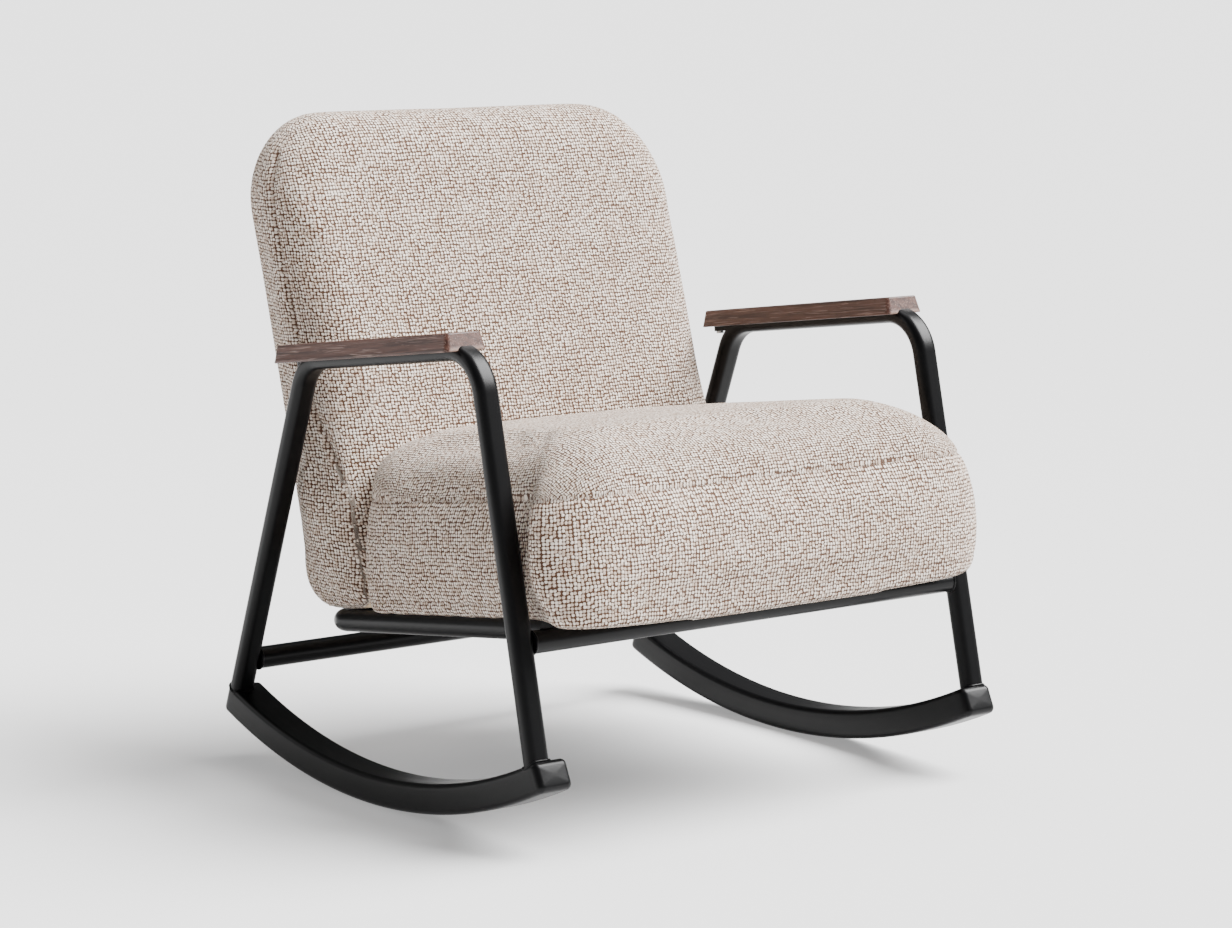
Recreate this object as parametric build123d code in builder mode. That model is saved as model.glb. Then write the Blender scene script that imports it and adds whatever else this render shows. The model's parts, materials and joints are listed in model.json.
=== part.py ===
"""Upholstered rocking chair: two bent-tube side frames on curved runners, wooden
arms, a tube seat frame with a boxed seat cushion and a reclined, padded back.

The chair faces -Y, its right-hand side (as sat in) is -X and the floor is Z = 0.
Side-view sizes are measured from the point where the runners touch the floor,
so every side-view sketch lies on a plane whose origin is at that point.
"""
import os
from math import asin, atan2, cos, degrees, hypot, radians, sin, tan

from build123d import *

os.makedirs("parts", exist_ok=True)

# ---------------------------------------------------------------- overall
frame_spacing = 620.0  # between the middles of the two side frames
front_reach = 359.0  # seat front, ahead of the floor contact
rear_reach = 316.0  # back's rear-most point, behind the floor contact
total_height = 757.0
tilt = 7.4  # arms and seat rise towards the front by this angle

# ---------------------------------------------------------------- side frame
tube_wide = 27.0  # across the chair
tube_deep = 20.0  # in the plane of the frame
tube_corner = 8.5
tube_wall = 1.8
bend_radius = 52.0
arm_height = 498.0  # middle of the arm rail, straight above the contact
arm_front = 216.0  # front corner of the bent tube, ahead of the contact
arm_rear = 117.0  # rear corner, behind the contact
front_splay = 13.0  # lean of the front legs
rear_splay = 21.2  # lean of the rear legs

# ---------------------------------------------------------------- runners
rocker_radius = 807.0
runner_deep = 34.0
runner_wide = 44.0
runner_edge = 6.0
runner_wall = 2.5
runner_front = 343.0  # front end, ahead of the contact
runner_rear = 293.0  # rear end, behind the contact
runner_flush = 1.0  # outer face outside the legs' outer faces
cap_thick = 8.0

# ---------------------------------------------------------------- wooden arms
pad_length = 348.0
pad_wide = 54.0
pad_thick = 20.0
pad_draft = 12.0  # the sides lean in towards the top
pad_shift = -21.5  # middle of the arm from the contact, along the arm
pad_corner = 7.0
pad_edge = 2.0
groove_gap = 0.2
tab_thick = 6.0
tab_end = 5.5  # from the steel tab's end to the wood's end
arm_screw = 4.5
arm_screw_bite = 8.0
arm_screws_at = (-140.0, 20.0)  # along the arm from the contact

# ---------------------------------------------------------------- seat base
rail_tube = 25.0
rail_wall = 2.0
rail_gap = 13.5  # between the side rails and the legs
rail_end = 4.0  # thickness of the rails' closed front ends
rail_rear = 139.0
rail_bend = 38.0
seat_height = 209.5  # top of the rails, straight above the contact
front_tube_height = 223.0
stretcher_tube = 26.0
stretcher_height = 118.0
strut_thick = 6.0
strut_wide = 18.0
strut_at = 40.0
screw_gap = 0.2  # between a screw and its hole, on each side
deck_thick = 15.0
deck_border = 62.0
deck_inset = 16.0  # board edge inside the upholstery
deck_overhang = 5.0  # board edge behind the middle of the rear rail
deck_tab_long = 32.0
deck_tab_wide = 30.0
deck_tab_thick = 3.0
deck_tabs_at = (-235.0, 45.0)
deck_screw = 5.0
webbing_thick = 2.0
webbing_wide = 55.0
webbing_lap = 25.0
seat_webs_at = (0.14, 0.38, 0.62, 0.86)  # shares of the board's window
back_webs_at = (0.2, 0.5, 0.8)  # shares of the frame's window

# ---------------------------------------------------------------- upholstery
cushion_gap = 10.5  # between the seat cushion and the legs
arm_gap = 3.0  # between the back and the wooden arms
boxing = 125.0  # height of the cushion's side, to the top seam
crown = 69.0
crown_inset = 110.0
front_round = 62.0  # seat's front corners in plan
rear_round = 40.0
cover = 3.0
cover_return = 66.0  # cloth turned in under the seat board
soft_gap = 0.3
seat_back_gap = 0.6
back_front_foot = 52.5  # back's front face at seat level, behind the contact
back_top_thick = 90.6  # thickness of the back at its top, before rounding
back_rear_lean = 15.8  # rear face
back_top_round = 100.0  # top corners seen from the front
back_edge = 42.0  # top edges seen from the side
back_rear_corner = 38.0
back_top_slip = 1.5  # corner cut starts this far above the top, so it never grazes it
dust_thick = 1.0
dust_lap = 4.0

# ---------------------------------------------------------------- back frame
frame_thick = 18.0
frame_border = 60.0
frame_inset = 30.0
frame_setback_share = 0.245  # padding behind the timber frame, of the back's foot
frame_foot = 95.0  # height of the frame's bottom rail
bracket_thick = 4.0
bracket_wide = 40.0
bracket_leg_share = 0.8  # of the room ahead of the timber frame
bracket_at = 190.0
bracket_screw = 6.0

# ---------------------------------------------------------------- derived
low_y = (front_reach - rear_reach) / 2  # contact, from the chair's middle
sides = {"right": -1, "left": 1}
pitch = radians(tilt)
slope = tan(pitch)
leg_x = frame_spacing / 2
leg_inner = leg_x - tube_wide / 2
runner_x = leg_x + tube_wide / 2 + runner_flush - runner_wide / 2
rail_half = leg_inner - rail_gap - rail_tube / 2
cushion_half = leg_inner - cushion_gap
back_half = leg_x - pad_wide / 2 - arm_gap
deck_rise = cover + soft_gap
deck_top = deck_rise + deck_thick
big = 2000.0  # larger than the whole chair
past = 20.0  # cutting shapes run at least this far past what they cut
seat_up = Axis((0, 0, 0), (0, sin(pitch), cos(pitch)))


def side_plane(x):
    """Vertical plane facing +X, its origin below the middle, at the floor contact."""
    return Plane(origin=(x, low_y, 0), x_dir=(0, 1, 0), z_dir=(1, 0, 0))


def tilted_plane(x, height, rise):
    """Plane tilted with the seat: X across, Y down towards the back."""
    normal = Vector(0, sin(pitch), cos(pitch))
    return Plane(origin=(x, low_y, height), x_dir=(1, 0, 0), z_dir=normal).offset(rise)


def seat_plane(rise=0.0):
    """Plane through the top of the seat rails, or above it by rise."""
    return tilted_plane(0, seat_height, rise)


def arm_plane(side, rise=0.0):
    """Plane through the middle of one arm rail, or above it by rise."""
    return tilted_plane(side * leg_x, arm_height, rise)


def rod_set(plane, spots, radius, length):
    """Round rods standing on a plane, one at each spot."""
    with BuildPart() as rods:
        with BuildSketch(plane):
            with Locations(*spots):
                Circle(radius)
        extrude(amount=length)
    return rods.part


def screw_set(plane, spots, size, grip, up):
    """Pan-head screws: heads on the plane's up side, shanks through it the other way."""
    with BuildPart() as screws:
        with BuildSketch(plane):
            with Locations(*spots):
                Circle(size)
        extrude(amount=up * 0.6 * size)
        with BuildSketch(plane):
            with Locations(*spots):
                Circle(size / 2)
        extrude(amount=-up * grip)
    return screws.part


def save(part, name):
    """Label one finished sub-part and write it under its node's name."""
    part.label = name
    export_step(part, f"parts/{name}.step")


# ---------------------------------------------------------------- runners
front_angle = degrees(asin(runner_front / rocker_radius))
rear_angle = degrees(asin(runner_rear / rocker_radius))
cap_angle = degrees(cap_thick / rocker_radius)


def runner_band(side, end_inset, grow):
    """Curved bar about the rocking centre, its ends square to the arc."""
    start = 270 - front_angle + end_inset
    turn = front_angle + rear_angle - 2 * end_inset
    with BuildPart() as bar:
        with BuildSketch(side_plane(side * runner_x)):
            with BuildLine():
                centre = (0, rocker_radius)
                low = CenterArc(centre, rocker_radius + grow, start, turn)
                high = CenterArc(centre, rocker_radius - runner_deep - grow, start, turn)
                Line(low @ 0, high @ 0)
                Line(low @ 1, high @ 1)
            make_face()
        extrude(amount=runner_wide / 2 + grow, both=True)
        if end_inset == 0:
            fillet(bar.edges(), runner_edge)
        elif grow < 0:
            fillet(bar.edges().filter_by(GeomType.CIRCLE), runner_edge + grow)
    return bar.part


runner_bodies = {name: runner_band(side, 0, 0) for name, side in sides.items()}
for name, side in sides.items():
    tube_part = runner_band(side, cap_angle, past)
    bore = runner_band(side, cap_angle / 2, -runner_wall)

    with BuildPart() as runner:
        add(runner_bodies[name])
        add(tube_part, mode=Mode.INTERSECT)
        add(bore, mode=Mode.SUBTRACT)
    save(runner.part, f"runner_{name}")

    with BuildPart() as runner_caps:
        add(runner_bodies[name])
        add(tube_part, mode=Mode.SUBTRACT)
    save(runner_caps.part, f"runner_caps_{name}")

# ---------------------------------------------------------------- side frames
front_corner = (-arm_front, arm_height + arm_front * slope)
rear_corner = (arm_rear, arm_height - arm_rear * slope)


def front_leg_y(z):
    """Front leg's middle line, behind the contact, at a height."""
    return front_corner[0] - (front_corner[1] - z) * tan(radians(front_splay))


def rear_leg_y(z):
    """Rear leg's middle line, behind the contact, at a height."""
    return rear_corner[0] + (rear_corner[1] - z) * tan(radians(rear_splay))


def bent_tube(side, grow):
    """Solid bar along the frame's middle line, bigger than the tube by grow all round."""
    foot = runner_deep
    with BuildPart() as bar:
        with BuildLine(side_plane(side * leg_x)):
            path = FilletPolyline(
                (front_leg_y(foot), foot),
                front_corner,
                rear_corner,
                (rear_leg_y(foot), foot),
                radius=bend_radius,
            )
        with BuildSketch(Plane(origin=path @ 0, x_dir=(1, 0, 0), z_dir=path % 0)):
            RectangleRounded(tube_wide + 2 * grow, tube_deep + 2 * grow, tube_corner + grow)
        sweep(path=path)
    return bar.part


frame_bars = {name: bent_tube(side, 0) for name, side in sides.items()}
for name, side in sides.items():
    bore = bent_tube(side, -tube_wall)
    rail_screws = [(0, along) for along in arm_screws_at]
    screw_holes = rod_set(arm_plane(side), rail_screws, arm_screw / 2 + screw_gap, tube_deep)
    driver_holes = rod_set(arm_plane(side, -tube_deep), rail_screws, arm_screw + 1, tube_deep)

    with BuildPart() as side_frame:
        add(frame_bars[name])
        with BuildSketch(side_plane(side * leg_x)):
            with Locations((0, rocker_radius)):
                Circle(rocker_radius - runner_deep + runner_edge)
        extrude(amount=tube_wide, both=True, mode=Mode.INTERSECT)
        add(bore, mode=Mode.SUBTRACT)
        add(runner_bodies[name], mode=Mode.SUBTRACT)
        add(screw_holes, mode=Mode.SUBTRACT)
        add(driver_holes, mode=Mode.SUBTRACT)
    save(side_frame.part, f"side_frame_{name}")

# ---------------------------------------------------------------- wooden arms
tab_back = pad_shift + pad_length / 2 - tab_end
tab_front = arm_rear - bend_radius / 4

for name, side in sides.items():
    channel = bent_tube(side, groove_gap)
    inboard = -side * tube_wide / 4
    rail_screws = [(0, along) for along in arm_screws_at]
    tab_screws = [(inboard, tab_back - tube_wide / 4)]
    pilot = arm_screw / 2 + screw_gap
    rail_top = tube_deep / 2 - tube_wall
    rail_grip = tube_wall + groove_gap + arm_screw_bite
    rail_depth = tube_deep / 2 + groove_gap + arm_screw_bite + 1
    tab_depth = tab_thick + arm_screw_bite + 1
    rail_pilots = rod_set(arm_plane(side), rail_screws, pilot, rail_depth)
    tab_pilots = rod_set(arm_plane(side, -tab_thick), tab_screws, pilot, tab_depth)

    with BuildPart() as arm_pad:
        with BuildSketch(arm_plane(side)):
            with Locations((0, pad_shift)):
                RectangleRounded(pad_wide, pad_length, pad_corner)
        extrude(amount=pad_thick, taper=pad_draft)
        fillet(arm_pad.faces().sort_by(seat_up)[-1].edges(), pad_edge)
        add(channel, mode=Mode.SUBTRACT)
        add(rail_pilots, mode=Mode.SUBTRACT)
        add(tab_pilots, mode=Mode.SUBTRACT)
    save(arm_pad.part, f"arm_pad_{name}")

    with BuildPart() as arm_tab:
        with BuildSketch(arm_plane(side)):
            with Locations((inboard, (tab_front + tab_back) / 2)):
                RectangleRounded(tube_wide / 2, tab_back - tab_front, tube_wide / 4.2)
        extrude(amount=-tab_thick)
        add(frame_bars[name], mode=Mode.SUBTRACT)
        add(tab_pilots, mode=Mode.SUBTRACT)
    save(arm_tab.part, f"arm_tab_{name}")

    rail_set = screw_set(arm_plane(side, rail_top), rail_screws, arm_screw, rail_grip, -1)
    tab_set = screw_set(arm_plane(side, -tab_thick), tab_screws, arm_screw, tab_thick + arm_screw_bite, -1)
    with BuildPart() as arm_screws:
        add(rail_set)
        add(tab_set)
    save(arm_screws.part, f"arm_screws_{name}")

# ---------------------------------------------------------------- cross tubes
front_tube_at = (front_leg_y(front_tube_height), front_tube_height)
stretcher_at = (rear_leg_y(stretcher_height), stretcher_height)


def cross_bar(spot, radius):
    """Round bar between the inner faces of two legs, at a side-view place."""
    return rod_set(side_plane(-leg_inner), [spot], radius, 2 * leg_inner)


front_solid = cross_bar(front_tube_at, rail_tube / 2)
front_bore = cross_bar(front_tube_at, rail_tube / 2 - rail_wall)
with BuildPart() as front_tube:
    add(front_solid)
    add(front_bore, mode=Mode.SUBTRACT)
save(front_tube.part, "front_tube")

stretcher_solid = cross_bar(stretcher_at, stretcher_tube / 2)
stretcher_bore = cross_bar(stretcher_at, stretcher_tube / 2 - rail_wall)
with BuildPart() as rear_stretcher:
    add(stretcher_solid)
    add(stretcher_bore, mode=Mode.SUBTRACT)
save(rear_stretcher.part, "rear_stretcher")

# ---------------------------------------------------------------- seat rails
front_drop = front_tube_height - seat_height
rail_front = front_tube_at[0] * cos(pitch) - front_drop * sin(pitch)


def rail_bar(grow, stop):
    """Solid round bar of the side rails and the rear one, ending stop behind the front."""
    with BuildPart() as bar:
        with BuildLine(seat_plane(-rail_tube / 2)):
            path = FilletPolyline(
                (-rail_half, rail_front + stop),
                (-rail_half, rail_rear),
                (rail_half, rail_rear),
                (rail_half, rail_front + stop),
                radius=rail_bend,
            )
        with BuildSketch(Plane(origin=path @ 0, z_dir=path % 0)):
            Circle(rail_tube / 2 + grow)
        sweep(path=path)
    return bar.part


rail_solid = rail_bar(0, 0)
rail_bore = rail_bar(-rail_wall, rail_end)
rail_inner = rail_half - rail_tube / 2

with BuildPart() as seat_rails:
    add(rail_solid)
    add(rail_bore, mode=Mode.SUBTRACT)
    add(front_solid, mode=Mode.SUBTRACT)
save(seat_rails.part, "seat_rails")

# ---------------------------------------------------------------- struts
rail_back = seat_plane(-rail_tube / 2).from_local_coords((0, rail_rear, 0))
rail_back_at = (rail_back.Y - low_y, rail_back.Z)
strut_run = rail_back_at[0] - stretcher_at[0]
strut_rise = rail_back_at[1] - stretcher_at[1]
strut_middle = (stretcher_at[0] + strut_run / 2, stretcher_at[1] + strut_rise / 2)
strut_turn = degrees(atan2(strut_rise, strut_run))

for name, side in sides.items():
    with BuildPart() as rail_strut:
        with BuildSketch(side_plane(side * strut_at)):
            with Locations(strut_middle):
                Rectangle(hypot(strut_run, strut_rise), strut_wide, rotation=strut_turn)
        extrude(amount=strut_thick / 2, both=True)
        add(stretcher_solid, mode=Mode.SUBTRACT)
        add(rail_solid, mode=Mode.SUBTRACT)
    save(rail_strut.part, f"rail_strut_{name}")

# ---------------------------------------------------------------- seat board
seat_front = -front_reach / cos(pitch)
deck_front = seat_front + deck_inset
deck_back = rail_rear + deck_overhang
deck_half = cushion_half - deck_inset
tab_outer = rail_half - rail_tube / 5
tab_inner = rail_inner - deck_tab_wide
screw_x = rail_inner - deck_tab_wide / 3
deck_spots = [(side * screw_x, along) for side in sides.values() for along in deck_tabs_at]
tab_x = (tab_outer + tab_inner) / 2
tab_spots = [(side * tab_x, along) for side in sides.values() for along in deck_tabs_at]


def deck_blank(grow):
    """Seat board without its window, bigger by grow all round."""
    with BuildPart() as board:
        with BuildSketch(seat_plane(deck_rise - grow)) as plan:
            with Locations((0, (deck_front + deck_back) / 2)):
                Rectangle(2 * (deck_half + grow), deck_back - deck_front + 2 * grow)
            corners = plan.vertices().group_by(Axis.Y)
            fillet(corners[0], front_round - deck_inset)
            fillet(corners[-1], rear_round - deck_inset)
        extrude(amount=deck_thick + 2 * grow)
    return board.part


window_front = deck_front + deck_border
window_back = back_front_foot - webbing_lap
window_long = window_back - window_front
seat_webs = [(0, window_front + share * window_long) for share in seat_webs_at]
deck_solid = deck_blank(0)
deck_clear = deck_blank(soft_gap)
deck_pilots = rod_set(seat_plane(-deck_tab_thick), deck_spots, deck_screw / 2 + screw_gap, past)
deck_screw_grip = deck_tab_thick + deck_rise + 0.7 * deck_thick

with BuildPart() as rail_tabs:
    with BuildSketch(seat_plane()):
        with Locations(*tab_spots):
            Rectangle(tab_outer - tab_inner, deck_tab_long)
    extrude(amount=-deck_tab_thick)
    add(rail_solid, mode=Mode.SUBTRACT)
    add(deck_pilots, mode=Mode.SUBTRACT)
save(rail_tabs.part, "rail_tabs")

deck_screws = screw_set(seat_plane(-deck_tab_thick), deck_spots, deck_screw, deck_screw_grip, -1)
save(deck_screws, "deck_screws")

with BuildPart() as seat_webbing:
    with BuildSketch(seat_plane(deck_top)):
        with Locations(*seat_webs):
            Rectangle(2 * (deck_half - deck_border + webbing_lap), webbing_wide)
    extrude(amount=webbing_thick)
save(seat_webbing.part, "seat_webbing")

dust_half = cushion_half - cover_return + dust_lap
dust_front = seat_front + cover_return - dust_lap
dust_back = rail_rear - rail_tube
with BuildPart() as dust_cover:
    with BuildSketch(seat_plane(-dust_thick)):
        with Locations((0, (dust_front + dust_back) / 2)):
            RectangleRounded(2 * dust_half, dust_back - dust_front, 12)
    extrude(amount=dust_thick)
    add(rail_tabs.part, mode=Mode.SUBTRACT)
save(dust_cover.part, "dust_cover")

# ---------------------------------------------------------------- cushion shapes
rear_lean = radians(back_rear_lean)
rear_touch = (
    rear_reach - back_edge + back_edge * cos(rear_lean),
    total_height - back_edge - back_edge * sin(rear_lean),
)
rear_top = rear_touch[0] + (total_height - rear_touch[1]) * tan(rear_lean)
recline = (rear_top - back_top_thick - back_front_foot) / (total_height - seat_height)
back_foot_thick = rear_top - (total_height - seat_height) * tan(rear_lean) - back_front_foot
frame_setback = frame_setback_share * back_foot_thick
bracket_leg = bracket_leg_share * (back_foot_thick - frame_setback - frame_thick)
crown_steps = ((0.0, 0.0), (0.45, 0.08), (0.8, 0.33), (1.0, 0.75))


def front_line(z):
    """Back's front face, behind the contact, at a height."""
    return back_front_foot + (z - seat_height) * recline


def rear_line(z, inset=0.0):
    """Back's rear face, behind the contact, at a height, or a plane inset from it."""
    return rear_touch[0] + (z - rear_touch[1]) * tan(rear_lean) - inset / cos(rear_lean)


def on_seat_level(foot, lean):
    """Where a line leaning back by lean, at foot above the contact, meets the rails' top."""
    y = foot / (1 + lean * slope)
    return y, seat_height - y * slope


def back_profile(inset):
    """Side view of the padded back, smaller by inset all round."""
    with BuildSketch(side_plane(0)) as profile:
        with BuildLine():
            Polyline(
                on_seat_level(back_front_foot, recline),
                (front_line(total_height), total_height),
                (rear_line(total_height), total_height),
                on_seat_level(rear_line(seat_height), tan(rear_lean)),
                close=True,
            )
        make_face()
        fillet(profile.vertices().group_by(Axis.Y)[-1], back_edge)
        fillet(profile.vertices().group_by(Axis.Y)[0], back_rear_corner)
        if inset:
            offset(amount=-inset)
    return profile.sketch


def back_blank(inset):
    """Padded back: its side profile with both top corners rounded from the front."""
    half = back_half - inset
    top = total_height - inset + back_top_slip
    profile = back_profile(inset)
    with BuildPart() as blank:
        extrude(profile, amount=half, both=True)
        with BuildSketch(Plane.XZ) as front:
            with Locations((0, top / 2)):
                Rectangle(2 * half, top)
            fillet(front.vertices().group_by(Axis.Y)[-1], back_top_round - inset)
        extrude(amount=big, both=True, mode=Mode.INTERSECT)
    return blank.part


def seat_outline(rise, inset):
    """Plan of the cushion at a level, its back end running well into the back."""
    front = seat_front + inset
    back = back_front_foot + boxing
    half = cushion_half - inset
    with BuildSketch(seat_plane(rise)) as plan:
        with Locations((0, (front + back) / 2)):
            Rectangle(2 * half, back - front)
        fillet(plan.vertices().group_by(Axis.Y)[0], max(front_round - inset / 2, 20))
    return plan.sketch


def seat_blank(inset):
    """Boxed cushion with a crowned top, its rear face following the reclined back."""
    levels = [seat_outline(inset, inset)]
    for height, pull in crown_steps:
        levels.append(seat_outline(boxing + (crown - inset) * height, inset + pull * crown_inset))
    gap = seat_back_gap + inset
    low = (front_line(0) - gap, 0)
    high = (front_line(big) - gap, big)
    with BuildPart() as blank:
        loft(levels[:2])
        loft(levels[1:])
        with BuildSketch(side_plane(0)):
            with BuildLine():
                Polyline(low, high, (low[0] - big, big), (low[0] - big, 0), close=True)
            make_face()
        extrude(amount=big, both=True, mode=Mode.INTERSECT)
    return blank.part


# ---------------------------------------------------------------- seat cushion
seat_outer = seat_blank(0)
seat_inner = seat_blank(cover)
seat_filling = seat_blank(cover + soft_gap)
with BuildPart() as seat_cover:
    add(seat_outer)
    add(seat_inner, mode=Mode.SUBTRACT)
    with BuildSketch(seat_plane()):
        with Locations((0, (seat_front + dust_back) / 2 + cover_return / 2)):
            RectangleRounded(2 * (cushion_half - cover_return), dust_back - seat_front - cover_return, 12)
    extrude(amount=cover, mode=Mode.SUBTRACT)
    add(deck_clear, mode=Mode.SUBTRACT)
    add(deck_pilots, mode=Mode.SUBTRACT)
save(seat_cover.part, "seat_cover")

with BuildPart() as seat_foam:
    add(seat_filling)
    with BuildSketch(seat_plane(deck_top + webbing_thick + soft_gap)):
        Rectangle(big, big)
    extrude(amount=-big, mode=Mode.SUBTRACT)
save(seat_foam.part, "seat_foam")

# ---------------------------------------------------------------- back frame
frame_front = frame_setback + frame_thick
frame_y = rear_line(seat_height, frame_front)
frame_normal = (0, -cos(rear_lean), sin(rear_lean))
frame_half = back_half - frame_inset
frame_top = (total_height - frame_inset - seat_height) / cos(rear_lean)


def frame_plane(rise=0.0):
    """Front face of the timber back frame: X across, Y up along the back."""
    origin = (0, low_y + frame_y, seat_height)
    return Plane(origin=origin, x_dir=(1, 0, 0), z_dir=frame_normal).offset(rise)


window_half = frame_half - frame_border
window_top = frame_top - frame_border
back_webs = [(0, frame_foot + share * (window_top - frame_foot)) for share in back_webs_at]
foot_at = (deck_top / cos(pitch) - frame_y * slope) / cos(rear_lean)
bracket_spots = [(side * bracket_at, foot_at + 0.6 * bracket_leg) for side in sides.values()]
frame_foot_run = frame_plane().from_local_coords((0, foot_at, 0))
foot_along = (frame_foot_run.Y - low_y) / cos(pitch) - deck_top * slope
board_spots = [(side * bracket_at, foot_along - 0.6 * bracket_leg) for side in sides.values()]

with BuildPart() as frame_board:
    with BuildSketch(frame_plane()) as plan:
        with Locations((0, (frame_top - frame_foot) / 2)):
            Rectangle(2 * frame_half, frame_top + frame_foot)
        fillet(plan.vertices().group_by(Axis.Y)[-1], back_top_round - frame_inset)
        with Locations((0, (frame_foot + window_top) / 2)):
            RectangleRounded(2 * window_half, window_top - frame_foot, 30, mode=Mode.SUBTRACT)
    extrude(amount=-frame_thick)
    with BuildSketch(seat_plane(deck_top)):
        Rectangle(big, big)
    extrude(amount=-big, mode=Mode.SUBTRACT)
frame_blank = frame_board.part

with BuildPart() as back_webbing:
    with BuildSketch(frame_plane()):
        with Locations(*back_webs):
            Rectangle(2 * (window_half + webbing_lap), webbing_wide)
    extrude(amount=webbing_thick)
save(back_webbing.part, "back_webbing")

# ---------------------------------------------------------------- back brackets


def bracket_shape(side, grow, thick):
    """Angle between board and frame: one leg up the frame, one forward on the board."""
    wide = bracket_wide + 2 * grow
    leg = bracket_leg + grow
    with BuildPart() as angle:
        with BuildSketch(frame_plane()):
            with Locations((side * bracket_at, foot_at)):
                Rectangle(wide, 2 * leg)
        extrude(amount=thick)
        with BuildSketch(seat_plane(deck_top)):
            with Locations((side * bracket_at, foot_along - leg / 2)):
                Rectangle(wide, leg)
        extrude(amount=thick)
        with BuildSketch(seat_plane(deck_top)):
            Rectangle(big, big)
        extrude(amount=-big, mode=Mode.SUBTRACT)
        with BuildSketch(frame_plane()):
            Rectangle(big, big)
        extrude(amount=-big, mode=Mode.SUBTRACT)
    return angle.part


bracket_hole = bracket_screw / 2 + screw_gap
frame_grip = bracket_thick + 0.8 * frame_thick
board_grip = bracket_thick + 0.8 * deck_thick
frame_holes = rod_set(frame_plane(bracket_thick), bracket_spots, bracket_hole, -frame_grip - 1)
board_holes = rod_set(seat_plane(deck_top + bracket_thick), board_spots, bracket_hole, -board_grip - 1)

for name, side in sides.items():
    angle = bracket_shape(side, 0, bracket_thick)
    with BuildPart() as back_bracket:
        add(angle)
        add(frame_holes, mode=Mode.SUBTRACT)
        add(board_holes, mode=Mode.SUBTRACT)
    save(back_bracket.part, f"back_bracket_{name}")

frame_set = screw_set(frame_plane(bracket_thick), bracket_spots, bracket_screw, frame_grip, 1)
board_set = screw_set(seat_plane(deck_top + bracket_thick), board_spots, bracket_screw, board_grip, 1)
with BuildPart() as bracket_screws:
    add(frame_set)
    add(board_set)
save(bracket_screws.part, "bracket_screws")

with BuildPart() as seat_board:
    add(deck_solid)
    with BuildSketch(seat_plane(deck_rise)):
        with Locations((0, (window_front + window_back) / 2)):
            RectangleRounded(2 * (deck_half - deck_border), window_back - window_front, 30)
    extrude(amount=deck_thick, mode=Mode.SUBTRACT)
    add(deck_pilots, mode=Mode.SUBTRACT)
    add(board_holes, mode=Mode.SUBTRACT)
save(seat_board.part, "seat_board")

with BuildPart() as back_frame:
    add(frame_blank)
    add(frame_holes, mode=Mode.SUBTRACT)
save(back_frame.part, "back_frame")

# ---------------------------------------------------------------- back cushion
back_outer = back_blank(0)
back_inner = back_blank(cover)
back_filling = back_blank(cover + soft_gap)
pockets = [bracket_shape(side, 2, bracket_thick + bracket_screw) for side in sides.values()]

with BuildPart() as back_cover:
    add(back_outer)
    add(back_inner, mode=Mode.SUBTRACT)
    add(deck_clear, mode=Mode.SUBTRACT)
save(back_cover.part, "back_cover")

with BuildPart() as back_foam:
    add(back_filling)
    add(deck_clear, mode=Mode.SUBTRACT)
    add(pockets, mode=Mode.SUBTRACT)
    with BuildSketch(frame_plane(webbing_thick + soft_gap)) as plan:
        with Locations((0, (frame_top - frame_foot) / 2)):
            Rectangle(2 * (frame_half + soft_gap), frame_top + frame_foot + 2 * soft_gap)
        fillet(plan.vertices().group_by(Axis.Y)[-1], back_top_round - frame_inset)
    extrude(amount=-(frame_thick + webbing_thick + 2 * soft_gap), mode=Mode.SUBTRACT)
save(back_foam.part, "back_foam")
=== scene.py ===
"""Looks of an upholstered rocking chair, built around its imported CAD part.

The chair faces -Y and stands on Z = 0. Steel, wood and cloth pieces are worked out as
surfaces in metres, in the part's own frame, and they ride on its one body.

Side-view sizes are measured from the line where the runners touch the floor:
"back" is the distance behind that line and "up" the height above the floor.
"""

import json
import math

import bpy
import numpy as np
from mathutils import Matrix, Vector


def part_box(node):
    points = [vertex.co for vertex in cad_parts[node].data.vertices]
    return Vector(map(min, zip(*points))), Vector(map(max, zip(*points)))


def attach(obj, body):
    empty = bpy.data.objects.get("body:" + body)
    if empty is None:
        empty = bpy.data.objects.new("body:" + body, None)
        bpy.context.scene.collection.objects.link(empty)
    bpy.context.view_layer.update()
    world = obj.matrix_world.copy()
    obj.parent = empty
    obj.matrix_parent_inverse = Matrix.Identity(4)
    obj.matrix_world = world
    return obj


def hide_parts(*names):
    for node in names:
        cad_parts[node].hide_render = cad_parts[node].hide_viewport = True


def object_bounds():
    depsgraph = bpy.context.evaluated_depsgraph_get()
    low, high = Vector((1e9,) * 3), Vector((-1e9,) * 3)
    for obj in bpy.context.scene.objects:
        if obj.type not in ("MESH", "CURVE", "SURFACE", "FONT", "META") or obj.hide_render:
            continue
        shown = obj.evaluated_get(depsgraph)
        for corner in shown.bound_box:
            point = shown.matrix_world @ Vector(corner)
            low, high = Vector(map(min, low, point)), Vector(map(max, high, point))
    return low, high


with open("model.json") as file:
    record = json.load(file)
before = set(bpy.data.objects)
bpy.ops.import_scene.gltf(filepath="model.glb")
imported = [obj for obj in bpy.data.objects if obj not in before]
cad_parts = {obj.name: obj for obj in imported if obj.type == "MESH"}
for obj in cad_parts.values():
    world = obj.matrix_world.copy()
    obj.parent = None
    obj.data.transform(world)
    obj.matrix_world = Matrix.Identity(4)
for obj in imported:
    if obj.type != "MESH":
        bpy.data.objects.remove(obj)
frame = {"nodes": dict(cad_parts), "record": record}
cad_low, cad_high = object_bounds()

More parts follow.
